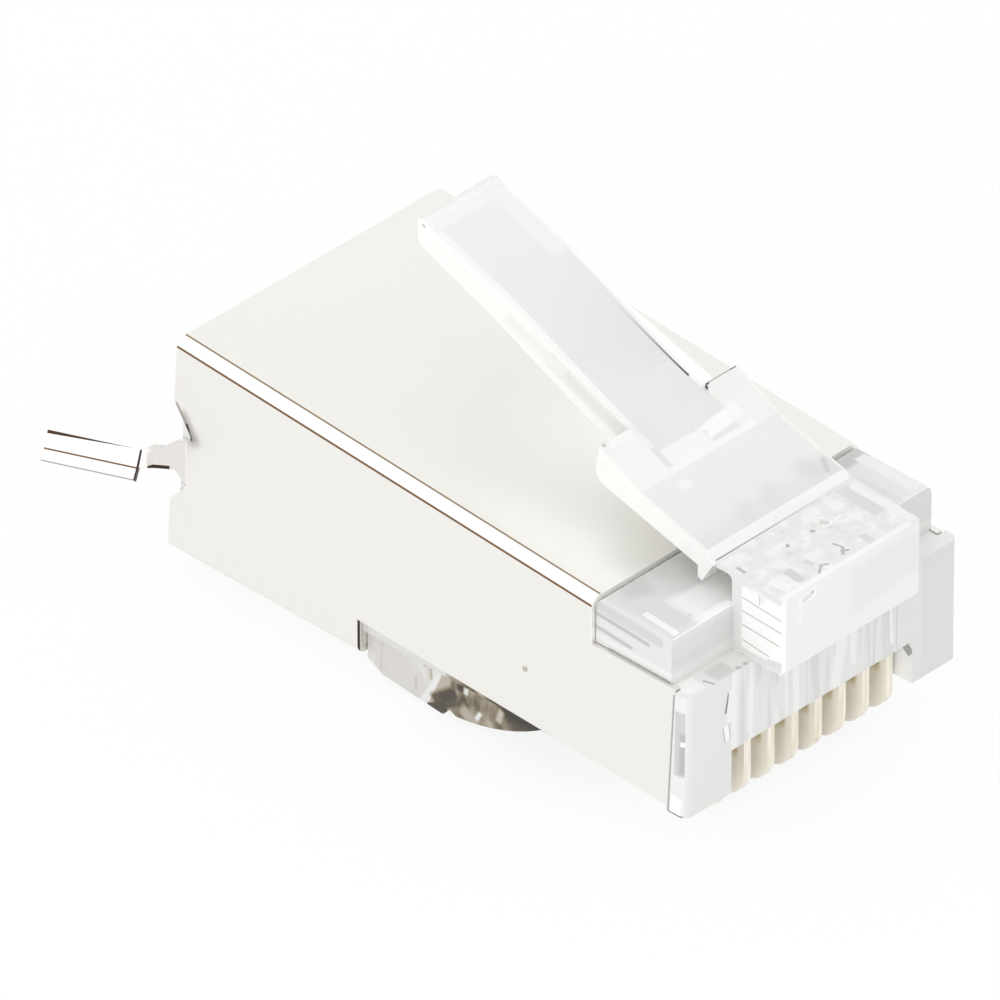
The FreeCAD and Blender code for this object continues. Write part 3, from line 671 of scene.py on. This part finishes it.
def tail_lines(g, colour):
    """Dark edges of the ground tail, painted shade along its strip's edges and crease, at the strip's
    start and under the neck.
    """
    step = g.math("MULTIPLY_ADD", g.y, strip_direction[1], -strip_start)
    along = g.math("MULTIPLY_ADD", g.x, strip_direction[0], step)
    strip = g.within(along, 0.0, strip_length + 0.2, 0.02)
    rising = g.math("MULTIPLY_ADD", along, 0.03, g.z)
    upper = g.all_of(strip, g.within(rising, 3.09, 3.30, 0.01))
    crease = g.all_of(strip, g.within(g.z, 2.61, 2.64, 0.01))
    lower = g.all_of(strip, g.within(g.z, 2.30, 2.37, 0.01))
    start = g.all_of(g.within(along, -0.01, 0.04, 0.02), g.within(g.x, -7.4, -6.4))
    under = g.all_of(g.within(g.x, neck_end, -6.02, 0.02), g.within(g.z, 2.38, 2.57, 0.01))
    # Painted shade along the strip's edges, its crease, its start and under the neck.
    colour = g.blend(upper, colour, rgb(78, 56, 42))
    colour = g.blend(crease, colour, rgb(128, 90, 52))
    colour = g.blend(lower, colour, rgb(160, 150, 144))
    return g.blend(g.math("MAXIMUM", start, under), colour, rgb(60, 44, 36))


def small_spots(g, colour, near_side):
    """Speck on the lower edge of the near side, and painted shade on the floor of its punched pip."""
    speck = g.all_of(g.patch(g.y, (19.05, 19.15), g.z, (-0.80, -0.66), 0.05), near_side)
    colour = g.blend(speck, colour, rgb(116, 108, 102))
    # Painted shade on the floor of the pip's hollow.
    pip = g.all_of(g.patch(g.y, (6.63, 6.73), g.z, (2.06, 2.16), 0.04), near_side)
    return g.blend(pip, colour, rgb(176, 168, 160))


def nickel_material():
    """Nickel-plated sheet: pale warm metal, with dark cut edges and fine lines along its folds, a top
    painted lighter beside the latch as painted light, and a strip of painted reflection beside the
    lever.
    """
    g = Graph("nickel_sheet")
    out = g.math("ABSOLUTE", g.x)
    near_side = g.within(g.x, -6.0, 0.0)
    grain = g.noise(900.0, 3.0)
    colour = g.blend(g.noise(120.0), rgb(244, 242, 237), rgb(240, 238, 233))
    colour = g.blend(g.side, colour, rgb(240, 238, 233))
    # Painted light: the top beside the latch is painted lighter against the latch's shade and dark
    # reflection.
    painted_light_by_latch = g.all_of(g.top, g.within(g.y, 3.0, 7.5, 6.0), g.within(g.x, -4.2, 3.0, 2.0))
    colour = g.blend(painted_light_by_latch, colour, rgb(254, 253, 249))
    # Painted reflection: a white strip on the top beside the lever's far edge.
    glare = g.all_of(g.top, g.stroke(g.x, g.y, (5.30, 13.50), (4.45, 9.00), 0.45, 0.08))
    colour = g.blend(glare, colour, rgb(255, 255, 254))
    colour = fold_marks(g, colour, out, near_side)
    colour = cut_edges(g, colour, out, near_side)
    colour = tail_faces(g, colour)
    colour = notch_marks(g, colour, near_side)
    colour = tail_lines(g, colour)
    colour = small_spots(g, colour, near_side)
    shader = g.add("ShaderNodeBsdfPrincipled", Metallic=0.75, Base_Color=colour)
    g.put(shader.inputs["Roughness"], g.spread(grain, 0.30, 0.40))
    g.put(shader.inputs["Normal"], g.bump(grain, 0.04, 0.02 * MM))
    return g.finish(shader.outputs["BSDF"])


def gold_material():
    """Gold-plated contact edge, pale, with upright streaks and olive shade high between the blades, and
    sides painted lighter as painted light against that shade.
    """
    g = Graph("gold_contact")
    streaks = g.noise(5.0, 3.0, g.stretched(1.0, 1.0, 0.10))
    colour = g.blend(g.spread(streaks, 0.0, 1.0, 0.35, 0.65), rgb(228, 218, 196), rgb(248, 243, 232))
    # Painted light: the sides are painted lighter against the shade between the blades.
    colour = g.blend(g.side, colour, rgb(255, 250, 238))
    shade = g.all_of(g.side, g.within(g.y, 1.0, 1.6, 0.2), g.within(g.z, 0.55, 2.0, 0.50))
    colour = g.blend(shade, colour, rgb(200, 184, 128))
    shader = g.add("ShaderNodeBsdfPrincipled", Metallic=0.0, Base_Color=colour)
    g.put(shader.inputs["Roughness"], g.spread(streaks, 0.25, 0.40))
    return g.finish(shader.outputs["BSDF"])


def set_material(node, material):
    """Every slot of a node shows the one material."""
    data = nodes[node].data
    if not data.materials:
        data.materials.append(material)
    for index in range(len(data.materials)):
        data.materials[index] = material


def soften(node, width):
    """Joins the node's facets and rounds its sharp edges a little, so that they catch the light."""
    piece = nodes[node]
    weld = piece.modifiers.new("join", "WELD")
    weld.merge_threshold = weld_distance
    flat = piece.modifiers.new("flat", "DECIMATE")
    flat.decimate_type = "DISSOLVE"
    flat.angle_limit = math.radians(flat_angle)
    bevel = piece.modifiers.new("edges", "BEVEL")
    bevel.width = width
    bevel.segments = 2
    bevel.limit_method = "ANGLE"
    bevel.angle_limit = math.radians(sharp_angle)
    bevel.harden_normals = True
    bevel.use_clamp_overlap = True


def place_camera():
    a = math.radians(view_azimuth)
    e = math.radians(view_elevation)
    back = Vector((math.sin(a) * math.cos(e), -math.cos(a) * math.cos(e), math.sin(e)))
    right = Vector((math.cos(a), math.sin(a), 0.0))
    up = back.cross(right)
    data = bpy.data.cameras.new("camera")
    data.lens = view_lens
    data.sensor_width = view_sensor
    data.clip_start = view_nearest
    data.clip_end = view_farthest
    camera = bpy.data.objects.new("camera", data)
    scene.collection.objects.link(camera)
    aim = view_target + right * view_side_step + up * view_up_step
    turn = Matrix((right, up, back)).transposed()
    camera.matrix_world = Matrix.Translation(aim + back * view_distance) @ turn.to_4x4()
    scene.camera = camera


def seen_rays(tree):
    """1 for rays from the camera, from a reflection or through the plug, else 0."""
    path = tree.nodes.new("ShaderNodeLightPath")
    result = path.outputs["Is Camera Ray"]
    for name in ("Is Glossy Ray", "Is Transmission Ray"):
        larger = tree.nodes.new("ShaderNodeMath")
        larger.operation = "MAXIMUM"
        tree.links.new(result, larger.inputs[0])
        tree.links.new(path.outputs[name], larger.inputs[1])
        result = larger.outputs[0]
    return result


def floor_material():
    """White floor with a faint shadow: what is seen of it is mostly white, and its light is plain."""
    g = Graph("floor")
    lit = g.add("ShaderNodeBsdfDiffuse", Color=rgb(250, 250, 250)).outputs[0]
    white = g.add("ShaderNodeEmission", Color=(1.0, 1.0, 1.0, 1.0), Strength=1.0).outputs[0]
    share = g.math("MULTIPLY", seen_rays(g.tree), floor_glow)
    mix = g.tree.nodes.new("ShaderNodeMixShader")
    for target, value in zip(mix.inputs, (share, lit, white)):
        g.put(target, value)
    return g.finish(mix.outputs[0])


def make_floor():
    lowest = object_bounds()[0].z - floor_gap
    half = floor_size / 2
    mesh = bpy.data.meshes.new("floor")
    signs = ((-1, -1), (1, -1), (1, 1), (-1, 1))
    corners = [(half * across, half * along, lowest) for across, along in signs]
    mesh.from_pydata(corners, [], [(0, 1, 2, 3)])
    floor = bpy.data.objects.new("floor", mesh)
    scene.collection.objects.link(floor)
    mesh.materials.append(floor_material())


def make_world():
    """White studio all round."""
    world = bpy.data.worlds.new("studio")
    scene.world = world
    world.use_nodes = True
    background = world.node_tree.nodes["Background"]
    background.inputs["Color"].default_value = (1.0, 1.0, 1.0, 1.0)
    background.inputs["Strength"].default_value = 1.0


def add_area_light(name, direction, power):
    """Square lamp at the lamps' distance from the plug's middle, in the given direction, facing it."""
    data = bpy.data.lights.new(name, "AREA")
    data.shape = "SQUARE"
    data.size = lamp_size
    data.energy = power
    light = bpy.data.objects.new(name, data)
    scene.collection.objects.link(light)
    back = Vector(direction).normalized()
    light.location = view_target + back * lamp_distance
    light.rotation_mode = "QUATERNION"
    light.rotation_quaternion = (-back).to_track_quat("-Z", "Y")


scene.view_settings.view_transform = "Standard"
place_camera()
make_world()
make_floor()
add_area_light("key", (-0.3, -0.3, 1.0), key_power)
add_area_light("fill", (-1.0, -0.36, 0.15), fill_power)
add_area_light("front", (-0.5, -1.0, 0.12), front_power)

set_material("housing", housing_material())
set_material("latch_lever", latch_material())
set_material("shield", nickel_material())
gold = gold_material()
for name in nodes:
    if name.startswith("contact_"):
        set_material(name, gold)

soften("housing", housing_softness)
soften("latch_lever", latch_softness)
